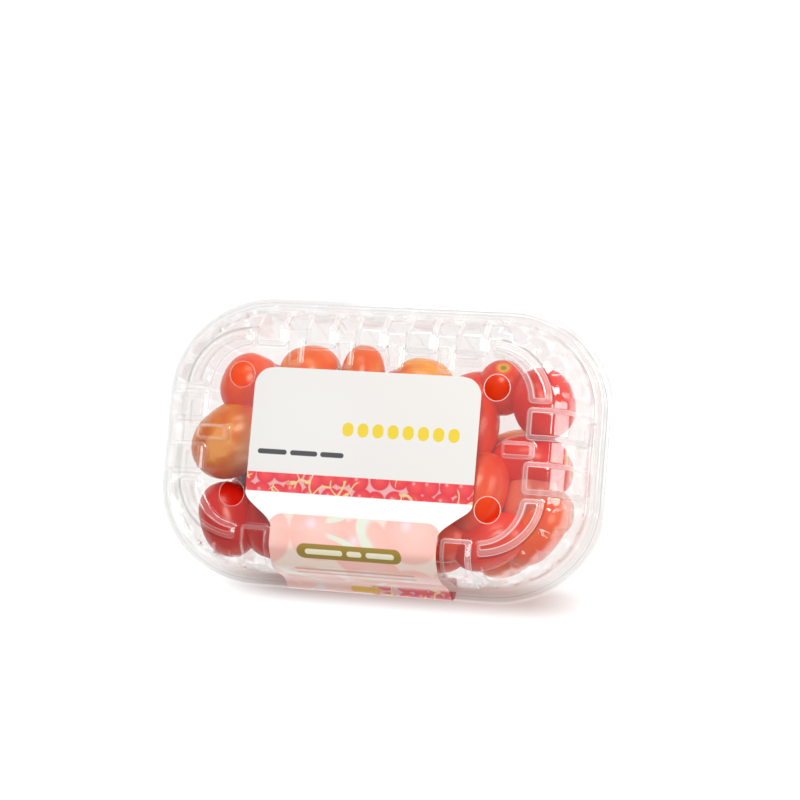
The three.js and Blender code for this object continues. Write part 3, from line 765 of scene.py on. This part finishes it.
def label_print():
    """Glossy warm white paper, printed in fields of colour: fruit in bands, a pill and rows of shapes."""
    material, tree = new_material("label_print")
    place = node(tree, "ShaderNodeAttribute", attribute_name="print").outputs["Vector"]
    split = node(tree, "ShaderNodeSeparateXYZ", {0: place})
    x, s = split.outputs["X"], split.outputs["Y"]

    def sums(operation, a, b=0.0, c=0.0):
        return node(tree, "ShaderNodeMath", {0: a, 1: b, 2: c}, operation=operation).outputs[0]

    def inside(x0, x1, s0, s1, corner=0.0, edge=0.25):
        """A mask that is 1 inside a rounded box on the label, in mm."""
        from_x = sums("ABSOLUTE", sums("SUBTRACT", x, (x0 + x1) / 2))
        from_s = sums("ABSOLUTE", sums("SUBTRACT", s, (s0 + s1) / 2))
        out_x = sums("MAXIMUM", sums("SUBTRACT", from_x, (x1 - x0) / 2 - corner))
        out_s = sums("MAXIMUM", sums("SUBTRACT", from_s, (s1 - s0) / 2 - corner))
        out = sums("SQRT", sums("ADD", sums("MULTIPLY", out_x, out_x), sums("MULTIPLY", out_s, out_s)))
        return node(tree, "ShaderNodeMapRange", {
            "Value": out, "From Min": corner, "From Max": corner + edge, "To Min": 1, "To Max": 0,
        }).outputs[0]

    def vectors(operation, a, b=(0, 0, 0), c=(0, 0, 0)):
        return node(tree, "ShaderNodeVectorMath", {0: a, 1: b, 2: c}, operation=operation)

    def paint(under, over, mask):
        return overlaid(tree, under, over, mask)

    def fruit(size, stops, gap, stalk, width, highlight):
        """Round fruit packed side by side, each with a soft highlight, and crooked stalks between some."""
        crook = node(tree, "ShaderNodeTexNoise", {"Vector": place, "Scale": 0.9 / size, "Detail": 0})
        crook = vectors("SUBTRACT", crook.outputs["Color"], (0.5, 0.5, 0.5)).outputs[0]
        at = node(tree, "ShaderNodeMapping", {"Vector": place, "Scale": (1 / size, 1 / size, 0)}).outputs[0]
        bent = vectors("MULTIPLY_ADD", crook, (1.6, 1.6, 0), at).outputs[0]
        cells = node(tree, "ShaderNodeTexVoronoi", {"Vector": at, "Scale": 1, "Randomness": 0.45},
                     voronoi_dimensions="2D")
        colour = colour_ramp(tree, cells.outputs["Distance"], [*stops, (0.62, gap)])
        local = vectors("SUBTRACT", at, cells.outputs["Position"]).outputs[0]
        shine = vectors("LENGTH", vectors("ADD", local, (0.16, 0.14, 0)).outputs[0]).outputs["Value"]
        spot = colour_ramp(tree, shine, [(0, 0.85), (0.14, 0)])
        colour = paint(colour, highlight, spot)
        edges = node(tree, "ShaderNodeTexVoronoi", {"Vector": bent, "Scale": 0.8, "Randomness": 1},
                     voronoi_dimensions="2D", feature="DISTANCE_TO_EDGE")
        lines = colour_ramp(tree, edges.outputs["Distance"], [(width, 1), (width * 1.7, 0)])
        some = node(tree, "ShaderNodeTexNoise", {"Vector": place, "Scale": 1 / (1.8 * size), "Detail": 0})
        some = colour_ramp(tree, some.outputs["Fac"], [(0.5, 0), (0.53, 1)])
        return paint(colour, stalk, sums("MULTIPLY", lines, some))

    paper = (0.84, 0.82, 0.785, 1)
    # A whiter band of paper below the fruit strip, where the label bends over the shoulder, is a painted
    # highlight.
    colour = paint(paper, (0.98, 0.975, 0.965, 1), inside(-60, 60, STRIP[1], 70, edge=3))
    strong = fruit(7, [(0.1, (0.9, 0.085, 0.09)), (0.54, (0.78, 0.04, 0.06))], (0.82, 0.42, 0.42),
                   (0.84, 0.6, 0.28, 1), 0.035, (0.98, 0.5, 0.5, 1))
    # The tab's fruit is printed larger and paler, and washed out further by a painted reflection of the
    # softbox in its glossy face.
    sheen_washed_fruit = fruit(21, [(0.1, (0.98, 0.62, 0.55)), (0.56, (0.98, 0.54, 0.47))], (0.95, 0.76, 0.66),
                  (0.82, 0.86, 0.72, 1), 0.06, (0.92, 0.8, 0.93, 1))
    colour = paint(colour, strong, inside(-60, 60, *STRIP))
    colour = paint(colour, sheen_washed_fruit, inside(-TAB_PRINT_HALF, TAB_PRINT_HALF, TAB_PRINT, 140, corner=6))
    foot = sums("MULTIPLY", inside(-60, 60, TAB_FOOT, 140, edge=2), inside(3, 60, 90, 140, edge=2))
    colour = paint(colour, strong, foot)
    colour = paint(colour, (0.82, 0.42, 0.02, 1), inside(-7, 5.5, 101.5, 105, corner=1.7))
    colour = paint(colour, (0.36, 0.24, 0.04, 1), inside(*PILL, corner=3))
    for x0, x1 in PILL_BARS:
        colour = paint(colour, (0.93, 0.88, 0.66, 1), inside(x0, x1, 72.6, 74.7, corner=1))
    for s0 in RULES:
        colour = paint(colour, (0.62, 0.34, 0.24, 1), inside(-25, 25, s0, s0 + 1.1, corner=0.5))
    for i in range(OVALS):
        middle = FIRST_OVAL + OVAL_PITCH * i
        oval = inside(middle - OVAL_HALF, middle + OVAL_HALF, 21, 26.4, corner=OVAL_HALF)
        colour = paint(colour, (0.87, 0.65, 0.04, 1), oval)
    for x0, x1 in GREY_BARS:
        colour = paint(colour, (0.06, 0.06, 0.065, 1), inside(x0, x1, 33.4, 35.2, corner=0.9))
    shader = node(tree, "ShaderNodeBsdfPrincipled", {
        "Base Color": colour, "Roughness": 0.3, "Coat Weight": 0.4, "Coat Roughness": 0.1,
    })
    node(tree, "ShaderNodeOutputMaterial", {"Surface": shader.outputs[0]})
    return material


label.data.materials.append(label_print())
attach(label, "root")
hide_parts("label")

# ---------------------------------------------------------------- the studio
# A white floor that glows evenly, except in a strip along the pack's front, where the glow is turned down
# over a warm
# diffuse paper: a painted shade, in which the lamps' real shade shows. A bright white room, a softbox
# overhead, one behind and one on the right that draws the pale band on the lid, and a faint lamp.
SHADE_REAR, SHADE_FRONT, SHADE_SIDES = (-0.046, -0.055), (-0.069, -0.057), (0.098, 0.05)  # from clear to dull
deselect_all()
bpy.ops.mesh.primitive_plane_add(size=6, location=(0, 0, -0.05 * MM))
floor = bpy.context.object
floor.name = "floor"
floor_look, tree = new_material("white_sweep")
split = node(tree, "ShaderNodeSeparateXYZ", {0: node(tree, "ShaderNodeTexCoord").outputs["Object"]})
across, depth = split.outputs["X"], split.outputs["Y"]
across = node(tree, "ShaderNodeMath", {0: across}, operation="ABSOLUTE").outputs[0]
# The mask of the painted shade: 1 in the strip along the pack's front, 0 where the floor glows fully.
painted_shade = 1
for value, (clear_at, deepest_at) in ((depth, SHADE_REAR), (depth, SHADE_FRONT), (across, SHADE_SIDES)):
    reach = node(tree, "ShaderNodeMapRange", {"Value": value, "From Min": clear_at, "From Max": deepest_at},
                 interpolation_type="SMOOTHSTEP").outputs[0]
    painted_shade = node(tree, "ShaderNodeMath", {0: painted_shade, 1: reach}, operation="MULTIPLY").outputs[0]
paper = node(tree, "ShaderNodeBsdfDiffuse", {"Color": (0.8, 0.76, 0.72, 1)})
faint = node(tree, "ShaderNodeEmission", {"Color": (1, 1, 1, 1), "Strength": 0.12})
sweep = node(tree, "ShaderNodeAddShader", {0: paper.outputs[0], 1: faint.outputs[0]})
glow = node(tree, "ShaderNodeEmission", {"Color": (1, 1, 1, 1), "Strength": 1.22})
lit = node(tree, "ShaderNodeMixShader", {"Fac": painted_shade, 1: glow.outputs[0], 2: sweep.outputs[0]})
node(tree, "ShaderNodeOutputMaterial", {"Surface": lit.outputs[0]})
floor.data.materials.append(floor_look)

world = bpy.data.worlds.new("white_room")
world.use_nodes = True
world.node_tree.nodes["Background"].inputs["Color"].default_value = (1, 1, 1, 1)
world.node_tree.nodes["Background"].inputs["Strength"].default_value = 0.3
bpy.context.scene.world = world

PACK_MIDDLE = Vector((0, 0, 60)) * MM
for name, place, size, watts, colour in (
    ("overhead_softbox", (0.15, 0.28, 1.05), (0.35, 0.35), 5, (1, 1, 1)),
    ("rear_softbox", (-0.1, 0.75, 0.85), (0.5, 0.28), 2.8, (1, 1, 1)),
    ("right_softbox", (1.0, 0.1, 0.58), (0.5, 0.5), 5, (1, 1, 1)),
    ("label_lamp", (-0.389, 0.09, 1.107), (0.08, 0.08), 0.05, (0.8, 0.85, 1)),
):
    deselect_all()
    bpy.ops.object.light_add(type="AREA", location=place)
    light = bpy.context.object
    light.name = name
    light.data.shape = "RECTANGLE"
    light.data.size, light.data.size_y = size
    light.data.energy = watts
    light.data.color = colour
    light.rotation_euler = (Vector(place) - PACK_MIDDLE).to_track_quat("Z", "Y").to_euler()

deselect_all()
bpy.ops.object.camera_add(
    location=Vector((317.2, -81.9, 1055.9)) * MM,
    rotation=[math.radians(angle) for angle in (6.962, 16.595, 5.047)],
)
camera = bpy.context.object
camera.data.lens = 117
camera.data.sensor_width = 36
scene = bpy.context.scene
scene.camera = camera
scene.view_settings.view_transform = "Standard"
scene.cycles.transparent_max_bounces = 32
